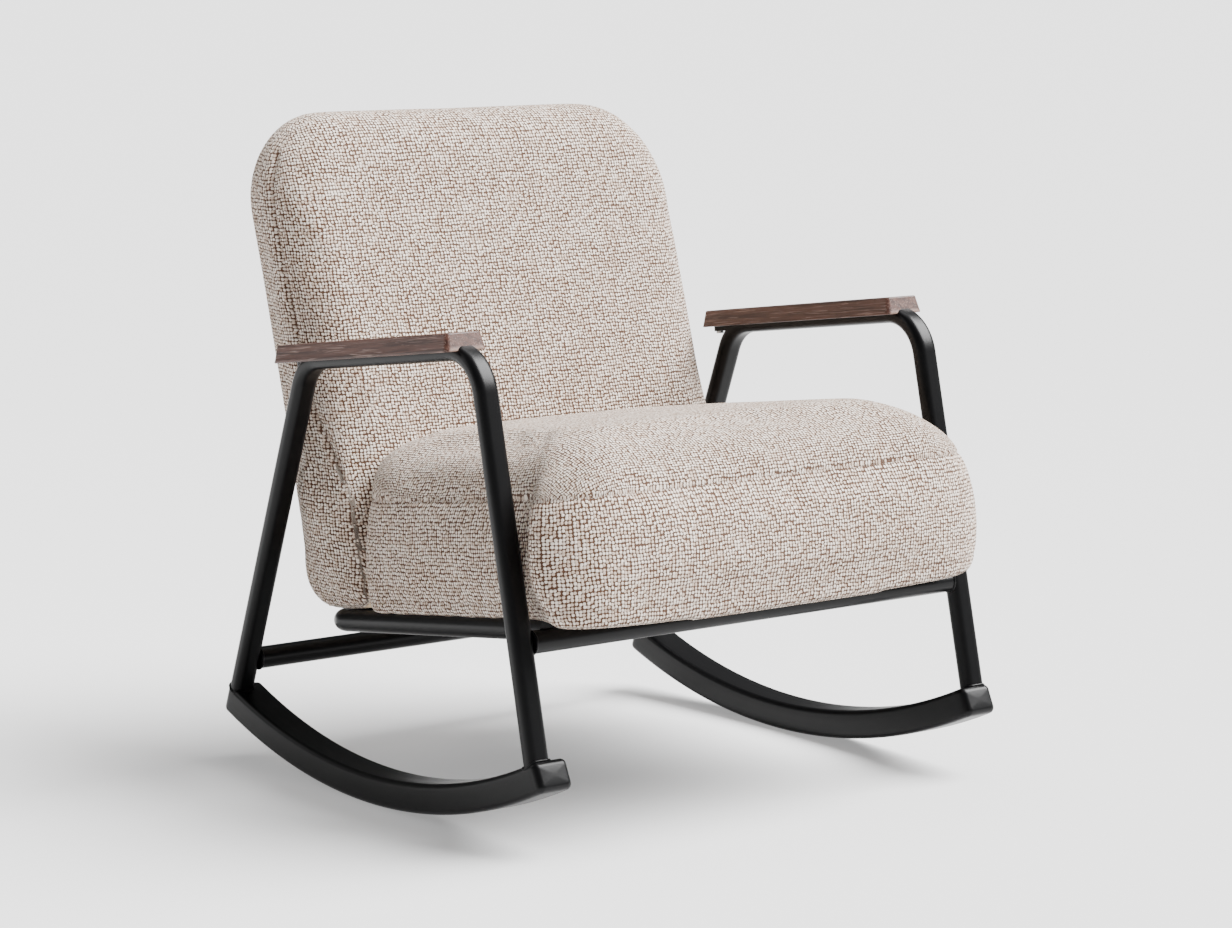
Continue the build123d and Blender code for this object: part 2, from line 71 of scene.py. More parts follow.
# ---------------------------------------------------------------- sizes from the frame
contact_y = frame["record"]["mounts"][0]["pos_m"][1]
frame_low, frame_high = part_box("side_frame_left")
leg_x = (frame_low.x + frame_high.x) / 2
tube_wide = frame_high.x - frame_low.x
leg_inner = frame_low.x
runner_low, runner_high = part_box("runner_left")
runner_x = (runner_low.x + runner_high.x) / 2
runner_wide = runner_high.x - runner_low.x
rail_half_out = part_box("seat_rails")[1].x
chair_top = cad_high.z
sides = {"right": -1.0, "left": 1.0}

# ---------------------------------------------------------------- sizes of the pieces
tilt = math.radians(7.4)
slope = math.tan(tilt)

tube_deep = 0.020
tube_corner = 0.0085
bend_radius = 0.052
arm_height = 0.498
arm_front = 0.216
arm_rear = 0.117
front_splay = math.radians(13.0)
rear_splay = math.radians(21.2)
foot_sink = 0.009
foot_weld = 0.0012
foot_weld_gap = 0.0006
tube_weld = 0.0011
tube_weld_gap = 0.0002
tube_weld_inset = 0.0004

rocker_radius = 0.807
runner_deep = 0.034
runner_edge = 0.006
end_round = 0.0085
runner_front = 0.343
runner_rear = 0.293

pad_long = 0.348
pad_wide = 0.054
pad_thick = 0.020
pad_draft = math.radians(12.0)
pad_shift = -0.0215
pad_corner = 0.007
pad_edge = 0.002

rail_tube = 0.025
rail_half = rail_half_out - rail_tube / 2
rail_rear = 0.139
rail_bend = 0.038
seat_height = 0.2095
front_tube_height = 0.223
stretcher_tube = 0.026
stretcher_height = 0.118

seat_front = -0.359 / math.cos(tilt)
seat_half = 0.284
boxing = 0.125
crown = 0.069
crown_inset = 0.110
front_round = 0.072
rear_round = 0.030

back_top = chair_top - 0.001
back_foot = 0.0525
back_recline = math.tan(math.radians(18.8))
back_rear_lean = math.tan(math.radians(15.8))
back_rear_foot = 0.1746
back_half = 0.285
back_round = 0.100


# ---------------------------------------------------------------- geometry helpers
def unit(vectors):
    """Vectors divided by their length."""
    vectors = np.asarray(vectors, float)
    return vectors / np.linalg.norm(vectors, axis=-1, keepdims=True)


def from_side(x, back, up):
    """Point of a side view, in the part's frame."""
    return np.array((x, contact_y + back, up), float)


def from_seat(points):
    """Seat coordinates (across, along, rise) in the part's frame: along runs down the tilted
    seat towards the back and rise stands square to it, from the top of the seat rails."""
    points = np.asarray(points, float)
    across, along, rise = np.moveaxis(points, -1, 0)
    back = along * math.cos(tilt) + rise * math.sin(tilt)
    up = seat_height - along * math.sin(tilt) + rise * math.cos(tilt)
    return np.stack((across, contact_y + back, up), axis=-1)


def to_seat(points):
    """The reverse of from_seat."""
    points = np.asarray(points, float)
    back, up = points[..., 1] - contact_y, points[..., 2] - seat_height
    along = back * math.cos(tilt) - up * math.sin(tilt)
    rise = back * math.sin(tilt) + up * math.cos(tilt)
    return np.stack((points[..., 0], along, rise), axis=-1)


def smooth_step(low, high, values):
    """0 below low, 1 above high and the curve 3t^2 - 2t^3 between them."""
    t = np.clip((values - low) / (high - low), 0, 1)
    return t * t * (3 - 2 * t)


def round_outline(half_wide, half_long, corner, turn=8, run=6):
    """Rounded rectangle, anticlockwise: four quarter circles, each of turn steps, joined
    by straight runs of run steps."""
    corner = min(corner, half_wide * 0.999, half_long * 0.999)
    spots = ((1, -1, -90), (1, 1, 0), (-1, 1, 90), (-1, -1, 180))
    outline = []
    for side_x, side_y, start in spots:
        angle = np.radians(start + np.linspace(0, 90, turn + 1))
        centre = np.array((side_x * (half_wide - corner), side_y * (half_long - corner)))
        outline.append(centre + corner * np.stack((np.cos(angle), np.sin(angle)), axis=-1))
    joined = []
    for arc, following in zip(outline, outline[1:] + outline[:1]):
        share = np.linspace(0, 1, run + 1)[1:-1, None]
        joined += [arc, arc[-1] * (1 - share) + following[0] * share]
    return np.vstack(joined)


def circle_outline(radius, steps=32):
    """Circle as steps points, anticlockwise."""
    angle = np.linspace(0, 2 * math.pi, steps, endpoint=False)
    return radius * np.stack((np.cos(angle), np.sin(angle)), axis=-1)


def bent_path(corners, radius, turn=math.radians(3)):
    """Straight runs between the corners, each inner corner swapped for an arc that touches
    both its runs: its centre lies on the corner's halving line at radius / sin(half)."""
    corners = [np.asarray(c, float) for c in corners]
    path = [corners[0]]
    for last, here, following in zip(corners, corners[1:], corners[2:]):
        before = unit(last - here)
        after = unit(following - here)
        half = math.acos(float(before @ after)) / 2
        centre = here + unit(before + after) * radius / math.sin(half)
        start = here + before * radius / math.tan(half) - centre
        end = here + after * radius / math.tan(half) - centre
        whole = math.pi - 2 * half
        for share in np.linspace(0, 1, max(2, round(whole / turn)) + 1):
            mixed = math.sin((1 - share) * whole) * start + math.sin(share * whole) * end
            path.append(centre + mixed / math.sin(whole))
    path.append(corners[-1])
    return np.array(path)


def carried(profile, path, across):
    """A profile swept along a path: its first coordinate runs along across and its second
    along across x direction, where direction is the path's tangent."""
    direction = unit(np.gradient(path, axis=0))
    across = np.broadcast_to(np.asarray(across, float), path.shape)
    upward = unit(np.cross(across, direction))
    first, second = profile[None, :, :1], profile[None, :, 1:]
    return path[:, None] + first * across[:, None] + second * upward[:, None]


def linked(name, data):
    """New object with its data, in the scene."""
    made = bpy.data.objects.new(name, data)
    bpy.context.scene.collection.objects.link(made)
    return made


def smooth(mesh):
    """Smooth shading on every face."""
    mesh.polygons.foreach_set("use_smooth", np.ones(len(mesh.polygons), bool))
    mesh.update()


def on_the_body(piece):
    """The piece rides on the chair's one body."""
    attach(piece, "root")
    return piece


def mesh_piece(name, rings, material, loop=False, sharp=40.0):
    """Piece whose surface joins each closed ring of points to the next one. With loop the
    last ring joins the first; otherwise both ends close on their middle points."""
    rows, count = rings.shape[:2]
    here = np.arange(rows * count).reshape(rows, count)
    below = here if loop else here[:-1]
    above = np.roll(here, -1, 0) if loop else here[1:]
    quads = np.stack((below, np.roll(below, -1, 1), np.roll(above, -1, 1), above), axis=-1)
    faces = quads.reshape(-1, 4).tolist()
    points = rings.reshape(-1, 3)
    if not loop:
        ends = (rings[0].mean(0), rings[-1].mean(0))
        points = np.vstack((points, ends))
        first, last = rows * count, rows * count + 1
        faces += [(b, a, first) for a, b in zip(here[0], np.roll(here[0], -1))]
        faces += [(a, b, last) for a, b in zip(here[-1], np.roll(here[-1], -1))]
    mesh = bpy.data.meshes.new(name)
    mesh.from_pydata(points.tolist(), [], [tuple(int(i) for i in f) for f in faces])
    piece = linked(name, mesh)
    face_outwards(mesh)
    smooth(mesh)
    mesh.set_sharp_from_angle(angle=math.radians(sharp))
    mesh.materials.append(material)
    return on_the_body(piece)


def face_outwards(mesh):
    """Turns a closed surface the right way out: the sum of corner . (edge x edge) over
    its triangles is six times its volume, so a negative sum means it is inside out."""
    mesh.calc_loop_triangles()
    corners = read(mesh.loop_triangles, "vertices", 3, np.int32)
    a, b, c = np.moveaxis(read_points(mesh)[corners], 1, 0)
    if np.einsum("ij,ij->i", a, np.cross(b, c)).sum() < 0:
        mesh.flip_normals()
    mesh.update()


def read(items, field, wide, kind=np.float32):
    """One field of every item as an array, its rows wide numbers long."""
    values = np.zeros(len(items) * wide, kind)
    items.foreach_get(field, values)
    return values.reshape(-1, wide)


def read_points(mesh):
    """The mesh's points as one array."""
    return read(mesh.vertices, "co", 3).astype(float)


def write_points(mesh, points):
    """Puts an array of points back into the mesh."""
    mesh.vertices.foreach_set("co", np.asarray(points, np.float32).ravel())
    mesh.update()


# ---------------------------------------------------------------- shader helpers
class Graph:
    """Short hand for one node tree: adds nodes, sets their inputs and links them."""

    def __init__(self, tree):
        self.tree = tree

    def add(self, kind, settings=None, **inputs):
        """One node. settings are its own properties and inputs are values or sockets."""
        node = self.tree.nodes.new(kind)
        for key, value in (settings or {}).items():
            setattr(node, key, value)
        self.fill(node, **inputs)
        return node

    def fill(self, node, **inputs):
        """Feeds a node's inputs, by socket name with _ for a space."""
        for key, value in inputs.items():
            self.feed(node.inputs[key.replace("_", " ")], value)

    def feed(self, socket, value):
        """Links a socket or sets a plain value."""
        if isinstance(value, bpy.types.NodeSocket):
            self.tree.links.new(value, socket)
        else:
            socket.default_value = value

    def math(self, operation, first, second=0.0, third=0.0):
        """Result of one Math node."""
        node = self.add("ShaderNodeMath", {"operation": operation})
        for socket, value in zip(node.inputs, (first, second, third)):
            self.feed(socket, value)
        return node.outputs[0]

    def span(self, value, low, high, to_low=0.0, to_high=1.0):
        """Value moved from the range low..high to to_low..to_high, clamped, smoothed."""
        node = self.add("ShaderNodeMapRange", {"interpolation_type": "SMOOTHSTEP"})
        for socket, given in zip(node.inputs, (value, low, high, to_low, to_high)):
            self.feed(socket, given)
        return node.outputs[0]

    def mix(self, share, first, second):
        """Colour between first and second by share."""
        node = self.add("ShaderNodeMix", {"data_type": "RGBA"})
        self.feed(node.inputs[0], share)
        self.feed(node.inputs[6], first)
        self.feed(node.inputs[7], second)
        return node.outputs[2]

    def noise(self, vector, scale, detail=3.0, roughness=0.5, distortion=0.0):
        """Noise texture's factor."""
        node = self.add("ShaderNodeTexNoise", Vector=vector, Scale=scale, Detail=detail)
        self.fill(node, Roughness=roughness, Distortion=distortion)
        return node.outputs[0]

    def stretched(self, vector, scale, turn=(0.0, 0.0, 0.0)):
        """Vector turned and then scaled by a different amount on each axis."""
        return self.add("ShaderNodeMapping", Vector=vector, Rotation=turn, Scale=scale).outputs[0]

    def bump(self, height, strength, distance):
        """Normal from a height."""
        node = self.add("ShaderNodeBump", Height=height, Strength=strength, Distance=distance)
        return node.outputs[0]


def new_group(name, inputs, outputs):
    """Empty shader group: its graph, its input sockets by name and its output node.
    inputs and outputs are (socket name, type, value) and (socket name, type)."""
    tree = bpy.data.node_groups.new(name, "ShaderNodeTree")
    for label, kind, value in inputs:
        socket = tree.interface.new_socket(label, in_out="INPUT", socket_type=kind)
        if value is not None:
            socket.default_value = value
    for label, kind in outputs:
        tree.interface.new_socket(label, in_out="OUTPUT", socket_type=kind)
    graph = Graph(tree)
    return graph, graph.add("NodeGroupInput").outputs, graph.add("NodeGroupOutput").inputs


def new_material(name):
    """Material with a Principled shader: its graph, that shader and the graph's object
    coordinates."""
    material = bpy.data.materials.new(name)
    material.use_nodes = True
    graph = Graph(material.node_tree)
    shader = material.node_tree.nodes["Principled BSDF"]
    place = graph.add("ShaderNodeTexCoord").outputs["Object"]
    return material, graph, shader, place


def use_group(graph, tree, **inputs):
    """One use of a shader group in a material."""
    node = graph.tree.nodes.new("ShaderNodeGroup")
    node.node_tree = tree
    graph.fill(node, **inputs)
    return node.outputs


FLOAT, COLOR, VECTOR = "NodeSocketFloat", "NodeSocketColor", "NodeSocketVector"


def handling_wear_group():
    """Fine unevenness of a finished hard surface: orange peel, faint smudges and hair
    scratches, as a roughness, a height and a mask of dust."""
    graph, given, out = new_group(
        "handling_wear",
        [("Place", VECTOR, None), ("Roughness", FLOAT, 0.4), ("Smudge", FLOAT, 0.1)],
        [("Roughness", FLOAT), ("Height", FLOAT), ("Dust", FLOAT)],
    )
    place = given["Place"]
    smudge = graph.noise(place, 9.0, 4.0, 0.6)
    peel = graph.noise(place, 700.0, 2.0)
    hairs = graph.noise(graph.stretched(place, (900.0, 40.0, 40.0), (0.2, 0.4, 0.7)), 1.0, 2.0)
    swing = graph.math("MULTIPLY", graph.math("SUBTRACT", smudge, 0.5), given["Smudge"])
    scratch = graph.math("MULTIPLY", graph.span(hairs, 0.66, 0.74), 0.06)
    rough = graph.math("ADD", graph.math("ADD", given["Roughness"], swing), scratch)
    graph.feed(out["Roughness"], rough)
    graph.feed(out["Height"], peel)
    graph.feed(out["Dust"], graph.span(graph.noise(place, 38.0, 5.0, 0.7), 0.55, 0.8))
    return graph.tree


def timber_grain_group():
    """Sawn and finished timber, grain along Y: broad growth bands, long thin pores and
    fine fibres, as a colour between four given ones, a roughness mask and a height."""
    graph, given, out = new_group(
        "timber_grain",
        [("Place", VECTOR, None)]
        + [(label, COLOR, None) for label in ("Deep", "Body", "Warm", "Fleck")]
        + [("Ring Scale", FLOAT, 60.0), ("Fleck Share", FLOAT, 0.5)],
        [("Color", COLOR), ("Pores", FLOAT), ("Height", FLOAT)],
    )
    place = given["Place"]
    sway = graph.noise(graph.stretched(place, (9.0, 3.0, 9.0)), 1.0, 3.0, 0.6)
    across = graph.add("ShaderNodeSeparateXYZ", Vector=place).outputs
    reach = graph.math("ADD", across["X"], graph.math("MULTIPLY", across["Z"], 1.7))
    bend = graph.math("ADD", reach, graph.math("MULTIPLY", sway, 0.05))
    phase = graph.math("MULTIPLY", bend, graph.math("MULTIPLY", given["Ring Scale"], 6.28))
    rings = graph.math("MULTIPLY_ADD", graph.math("SINE", phase), 0.5, 0.5)
    streaks = graph.noise(graph.stretched(place, (260.0, 9.0, 260.0)), 1.0, 4.0, 0.65, 0.3)
    fibres = graph.noise(graph.stretched(place, (1500.0, 45.0, 1500.0)), 1.0, 3.0, 0.6)
    pores = graph.noise(graph.stretched(place, (750.0, 22.0, 750.0)), 1.0, 2.0, 0.5, 0.6)
    pore_mask = graph.span(pores, 0.56, 0.68)
    body = graph.mix(graph.span(rings, 0.1, 0.9), given["Deep"], given["Body"])
    body = graph.mix(graph.span(streaks, 0.42, 0.68), body, given["Warm"])
    fine = graph.math("MULTIPLY", graph.span(fibres, 0.4, 0.75), 0.35)
    body = graph.mix(fine, body, given["Deep"])
    fleck = graph.math("MULTIPLY", pore_mask, given["Fleck Share"])
    graph.feed(out["Color"], graph.mix(fleck, body, given["Fleck"]))
    graph.feed(out["Pores"], pore_mask)
    lifted = graph.math("MULTIPLY_ADD", fibres, 0.35, graph.math("MULTIPLY", streaks, 0.4))
    sunken = graph.math("MULTIPLY", pore_mask, 0.5)
    graph.feed(out["Height"], graph.math("SUBTRACT", lifted, sunken))
    return graph.tree


def knotted_weave_group():
    """Plain weave of knobbly yarn on cloth coordinates in metres: a slightly uneven grid
    of round knots, its height falling to gaps between them, with slubs along the rows.
    Its colour falls with the knots to the gap colour, a painted shade between them."""
    graph, given, out = new_group(
        "knotted_weave",
        [("Cloth", VECTOR, None), ("Pitch", FLOAT, 0.0045), ("Unevenness", FLOAT, 0.3)]
        + [(label, COLOR, None) for label in ("Yarn", "Second Yarn", "Gap")],
        [("Color", COLOR), ("Height", FLOAT)],
    )
    cloth = given["Cloth"]
    drift = graph.add("ShaderNodeTexNoise", Vector=cloth, Scale=26.0, Detail=2.0).outputs["Color"]
    centred = graph.add("ShaderNodeVectorMath", {"operation": "SUBTRACT"})
    graph.feed(centred.inputs[0], drift)
    graph.feed(centred.inputs[1], (0.5, 0.5, 0.5))
    moved = graph.add("ShaderNodeVectorMath", {"operation": "MULTIPLY_ADD"})
    graph.feed(moved.inputs[0], centred.outputs[0])
    graph.feed(moved.inputs[1], (0.005, 0.005, 0.0))
    graph.feed(moved.inputs[2], cloth)
    grid = graph.add("ShaderNodeTexVoronoi", {"voronoi_dimensions": "2D"})
    graph.feed(grid.inputs["Vector"], moved.outputs[0])
    graph.feed(grid.inputs["Scale"], graph.math("DIVIDE", 1.0, given["Pitch"]))
    graph.feed(grid.inputs["Randomness"], given["Unevenness"])
    knot = graph.span(grid.outputs["Distance"], 0.56, 0.24)
    fluff = graph.noise(cloth, 1400.0, 2.0, 0.7)
    slub = graph.noise(graph.stretched(cloth, (14.0, 110.0, 1.0)), 1.0, 3.0, 0.6)
    blotch = graph.noise(cloth, 30.0, 3.0, 0.6)
    shade = graph.add("ShaderNodeSeparateXYZ", Vector=grid.outputs["Color"]).outputs["X"]
    tone = graph.math("MULTIPLY_ADD", shade, 0.75, graph.math("MULTIPLY", slub, 0.3))
    yarn = graph.mix(graph.span(tone, 0.2, 0.8), given["Second Yarn"], given["Yarn"])
    # Painted shade between the knots: where the knot mask falls, the colour goes to the gap colour.
    unshaded_share = graph.math("MULTIPLY_ADD", graph.math("SUBTRACT", blotch, 0.5), 0.8, knot)
    unshaded_share = graph.math("MULTIPLY_ADD", graph.math("SUBTRACT", fluff, 0.5), 0.4, unshaded_share)
    graph.feed(out["Color"], graph.mix(graph.span(unshaded_share, 0.05, 0.75), given["Gap"], yarn))
    raised = graph.math("MULTIPLY_ADD", graph.math("SUBTRACT", fluff, 0.5), 0.45, knot)
    graph.feed(out["Height"], raised)
    return graph.tree


handling_wear = handling_wear_group()
timber_grain = timber_grain_group()
knotted_weave = knotted_weave_group()


# ---------------------------------------------------------------- materials
def satin_black_steel():
    """Satin black powder coat: near-black, a soft gloss and a fine orange peel."""
    material, graph, shader, place = new_material("satin_black_steel")
    wear = use_group(graph, handling_wear, Place=place, Roughness=0.33, Smudge=0.08)
    dusty = graph.math("MULTIPLY", wear["Dust"], 0.2)
    coat = graph.mix(dusty, (0.0025, 0.0025, 0.0028, 1), (0.0055, 0.0053, 0.005, 1))
    peel = graph.bump(wear["Height"], 0.12, 0.0003)
    graph.fill(shader, Base_Color=coat, Roughness=wear["Roughness"], Normal=peel)
    graph.fill(shader, Specular_IOR_Level=0.15)
    return material


def bare_zinc_steel():
    """Zinc-plated fixings: pale metal with faint brushing."""
    material, graph, shader, place = new_material("bare_zinc_steel")
    wear = use_group(graph, handling_wear, Place=place, Roughness=0.38, Smudge=0.2)
    tint = graph.mix(wear["Dust"], (0.56, 0.57, 0.58, 1), (0.40, 0.40, 0.38, 1))
    brushing = graph.bump(wear["Height"], 0.2, 0.0002)
    graph.fill(shader, Base_Color=tint, Roughness=wear["Roughness"], Normal=brushing)
    graph.fill(shader, Metallic=1.0)
    return material


def timber(name, colours, turn, ring_scale, fleck_share, roughness, relief, paler_ahead_of=-9.0):
    """Timber material: its grain runs along Y after the turn. What lies ahead of the given end
    on that axis is paler, in the fleck colour."""
    material, graph, shader, place = new_material(name)
    laid = graph.stretched(place, (1.0, 1.0, 1.0), turn)
    deep, body, warm, fleck = colours
    tones = {"Deep": deep, "Body": body, "Warm": warm, "Fleck": fleck}
    shares = {"Ring Scale": ring_scale, "Fleck Share": fleck_share}
    grain = use_group(graph, timber_grain, Place=laid, **tones, **shares)
    wear = use_group(graph, handling_wear, Place=place, Roughness=roughness, Smudge=0.15)
    along = graph.add("ShaderNodeSeparateXYZ", Vector=laid).outputs["Y"]
    # Paler front end: ahead of the given end the colour goes towards the fleck colour.
    cut = graph.span(along, paler_ahead_of + 0.0012, paler_ahead_of + 0.0003, 0.0, 0.6)
    open_pores = graph.math("MULTIPLY_ADD", grain["Pores"], 0.18, wear["Roughness"])
    graph.fill(shader, Base_Color=graph.mix(cut, grain["Color"], fleck), Roughness=open_pores)
    graph.fill(shader, Normal=graph.bump(grain["Height"], relief, 0.0006))
    graph.fill(shader, Specular_IOR_Level=0.35)
    return material


def cloth(name, colours, pitch, unevenness, relief, sheen=0.1, seam_painted_shade=0.2):
    """Woven cloth on the piece's own cloth coordinates, with painted shade in the gaps between
    its knots; its seam attribute paints shade along the pressed-in seam lines."""
    material, graph, shader, _ = new_material(name)
    own = graph.add("ShaderNodeUVMap", {"uv_map": "cloth"}).outputs[0]
    yarn, second, painted_gap_shade = colours
    tones = {"Yarn": yarn, "Second Yarn": second, "Gap": painted_gap_shade}
    weave = use_group(
        graph, knotted_weave, Cloth=own, Pitch=pitch, Unevenness=unevenness, **tones
    )
    seam = graph.add("ShaderNodeAttribute", {"attribute_name": "seam"}).outputs["Fac"]
    # Painted shade along the pressed-in seams: the colour is pulled towards the gap colour.
    shaded = graph.mix(graph.math("MULTIPLY", seam, seam_painted_shade), weave["Color"], painted_gap_shade)
    knots = graph.bump(weave["Height"], relief, 0.0014)
    graph.fill(shader, Base_Color=shaded, Roughness=0.93, Specular_IOR_Level=0.2, Normal=knots)
    tint = (0.95, 0.9, 0.85, 1)
    graph.fill(shader, Sheen_Weight=sheen, Sheen_Roughness=0.5, Sheen_Tint=tint)
    return material


def opaque(*colours):
    """The colours with an alpha of 1."""
    return [(*c, 1) for c in colours]


steel = satin_black_steel()
zinc = bare_zinc_steel()
arm_front_end = contact_y * math.cos(tilt) - arm_height * math.sin(tilt) + pad_shift - pad_long / 2
oak_tones = opaque((0.034, 0.013, 0.009), (0.062, 0.025, 0.017), (0.10, 0.045, 0.033))
oak_tones += opaque((0.34, 0.235, 0.195))
oak_numbers = {"ring_scale": 52.0, "fleck_share": 0.42, "roughness": 0.42, "relief": 0.6}
oak = timber("stained_oak", oak_tones, (tilt, 0.0, 0.0), **oak_numbers, paler_ahead_of=arm_front_end)
birch_tones = opaque((0.44, 0.30, 0.17), (0.60, 0.45, 0.28), (0.68, 0.53, 0.35), (0.36, 0.24, 0.14))
birch_numbers = {"ring_scale": 24.0, "fleck_share": 0.3, "roughness": 0.62, "relief": 0.3}
plywood = timber("birch_plywood", birch_tones, (0.0, 0.0, 0.0), **birch_numbers)
# The third colour is the painted shade in the gaps between the knots.
yarns = opaque((0.84, 0.735, 0.64), (0.60, 0.465, 0.37), (0.080, 0.040, 0.024))
boucle = cloth(
    "boucle_weave", yarns, pitch=0.0040, unevenness=0.38, relief=1.0, sheen=0.12, seam_painted_shade=0.4
)
# The third colour is the painted shade in the gaps between the knots.
yarns = opaque((0.020, 0.020, 0.021), (0.014, 0.014, 0.015), (0.004, 0.004, 0.004))
lining = cloth("lining_weave", yarns, pitch=0.0016, unevenness=0.2, relief=0.5)


# ---------------------------------------------------------------- bent side frames
front_corner = np.array((-arm_front, arm_height + arm_front * slope))
rear_corner = np.array((arm_rear, arm_height - arm_rear * slope))


def leg_back(up, front):
    """How far behind the contact a leg's middle line is at a height."""
    corner, lean = (front_corner, -front_splay) if front else (rear_corner, rear_splay)
    return corner[0] + (corner[1] - up) * math.tan(lean)


def runner_top(back):
    """Height of a runner's top face: R - sqrt(r^2 - back^2), r the inner radius."""
    return rocker_radius - np.sqrt((rocker_radius - runner_deep) ** 2 - np.square(back))


def foot_height(front):
    """Height at which a leg's middle line meets the runner's top, found by repetition."""
    up = runner_deep
    for _ in range(12):
        up = float(runner_top(leg_back(up, front)))
    return up


def bent_frame(side):
    """Tube from the front foot over both bends to the rear foot; both feet end a little
    inside the runner."""
    corners = []
    for front in (True, False):
        low = foot_height(front) - foot_sink
        corners.append((leg_back(low, front), low))
    outline = [corners[0], front_corner, rear_corner, corners[1]]
    x = side * leg_x
    path = bent_path([from_side(x, *c) for c in outline], bend_radius)
    profile = round_outline(tube_wide / 2, tube_deep / 2, tube_corner, 10, 3)
    return carried(profile, path, (1.0, 0.0, 0.0))


def runner_bar(side):
    """Curved bar about the rocking centre; near each end the profile shrinks along a
    quarter circle, so that the end face keeps a rounded edge."""
    middle = rocker_radius - runner_deep / 2
    first = -math.asin(runner_front / rocker_radius)
    last = math.asin(runner_rear / rocker_radius)
    ease = np.radians(np.linspace(0, 90, 7))
    near = end_round * (1 - np.sin(ease)) / rocker_radius
    inset = 0.8 * end_round * (1 - np.cos(ease))
    body = np.linspace(first + near[0], last - near[0], 90)
    angles = np.concatenate(((first + near)[::-1], body[1:-1], last - near))
    insets = np.concatenate((inset[::-1], np.zeros(88), inset))
    x = side * runner_x
    path = np.stack(
        [from_side(x, middle * math.sin(a), rocker_radius - middle * math.cos(a)) for a in angles]
    )
    profiles = []
    for cut in insets:
        corner = max(runner_edge - 0.5 * cut, 0.002)
        profiles.append(round_outline(runner_wide / 2 - cut, runner_deep / 2 - cut, corner, 8, 3))
    across = np.array((1.0, 0.0, 0.0))
    direction = np.stack((np.zeros(len(angles)), np.cos(angles), np.sin(angles)), axis=-1)
    upward = np.cross(across, direction)
    profiles = np.array(profiles)
    return path[:, None] + profiles[..., :1] * across + profiles[..., 1:] * upward[:, None]


def foot_bead(side, front):
    """Weld round a leg's foot: the tube's outline carried down to the runner's top,
    which falls away along its rounded edge, and swept with a small circle."""
    up = foot_height(front)
    lean = -front_splay if front else rear_splay
    half_deep = tube_deep / 2 / math.cos(lean)
    half_wide, half_deep = tube_wide / 2 + foot_weld_gap, half_deep + foot_weld_gap
    outline = round_outline(half_wide, half_deep, tube_corner, 8, 5)
    x = side * leg_x + outline[:, 0]
    back = leg_back(up, front) + outline[:, 1]
    level = runner_top(back)
    back = back + (up - level) * math.tan(lean)
    margin = np.clip(runner_wide / 2 - np.abs(x - side * runner_x), 0, runner_edge)
    fall = runner_edge - np.sqrt(runner_edge**2 - (runner_edge - margin) ** 2)
    path = np.stack((x, contact_y + back, level - fall), axis=-1)
    count = np.arange(len(path))
    lumps = 1 + 0.16 * np.sin(count * 2.1) + 0.08 * np.sin(count * 5.3)
    return beaded(path, foot_weld * lumps)


def beaded(path, radii):
    """Closed loop of weld: circles of varying radius square to a closed path."""
    direction = unit(np.roll(path, -1, 0) - np.roll(path, 1, 0))
    outward = unit(path - path.mean(0))
    outward = unit(outward - (outward * direction).sum(1, keepdims=True) * direction)
    other = np.cross(direction, outward)
    ring = circle_outline(1.0, 10)
    radii = np.broadcast_to(radii, len(path))[:, None, None]
    return path[:, None] + radii * (ring[:, :1] * outward[:, None] + ring[:, 1:] * other[:, None])


def end_bead(centre, radius):
    """Weld round a cross tube that butts against a leg's flat face: a circle about X of
    the tube's radius, swept with a small circle."""
    ring = circle_outline(radius, 48)
    path = centre + np.column_stack((np.zeros(48), ring))
    return beaded(path, tube_weld * (1 + 0.15 * np.sin(np.arange(48) * 2.4)))


for name, side in sides.items():
    tube = mesh_piece(f"bent_frame_{name}", bent_frame(side), steel)
    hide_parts(f"side_frame_{name}")
    bar = mesh_piece(f"rocker_{name}", runner_bar(side), steel)
    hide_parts(f"runner_{name}", f"runner_caps_{name}")
    for label, front in (("front", True), ("rear", False)):
        bead = foot_bead(side, front)
        mesh_piece(f"foot_weld_{label}_{name}", bead, steel, loop=True)


# ---------------------------------------------------------------- seat rails and cross tubes
def rail_path_tube():
    """Round tube from the front cross tube down one side, across the rear and up the other
    side, its top touching rise 0; both ends stop on the front tube's middle line."""
    drop = front_tube_height - seat_height
    front = leg_back(front_tube_height, True) * math.cos(tilt) - drop * math.sin(tilt)
    corners = [(-rail_half, front), (-rail_half, rail_rear), (rail_half, rail_rear)]
    corners.append((rail_half, front))
    corners = [from_seat((x, along, -rail_tube / 2)) for x, along in corners]
    path = bent_path(corners, rail_bend)
    square = (0.0, math.sin(tilt), math.cos(tilt))
    return carried(circle_outline(rail_tube / 2, 36), path, square)


def straight_tube(start, end, radius):
    """Closed round bar between two points on a line along X."""
    return carried(circle_outline(radius, 36), np.linspace(start, end, 3), (0.0, 1.0, 0.0))


rail_piece = mesh_piece("bent_seat_rails", rail_path_tube(), steel)
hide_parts("seat_rails")
cross_tubes = {
    "front": ("front_tube", front_tube_height, True, rail_tube / 2),
    "rear": ("rear_stretcher", stretcher_height, False, stretcher_tube / 2),
}
for place, (node, up, front, radius) in cross_tubes.items():
    back = leg_back(up, front)
    ends = [from_side(side * leg_inner, back, up) for side in (-1, 1)]
    bar = mesh_piece(f"{place}_cross_tube", straight_tube(*ends, radius), steel)
    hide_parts(node)
    for name, side in sides.items():
        spot = from_side(side * (leg_inner - tube_weld_inset), back, up)
        bead = end_bead(spot, radius + tube_weld_gap)
        mesh_piece(f"{place}_tube_weld_{name}", bead, steel, loop=True)


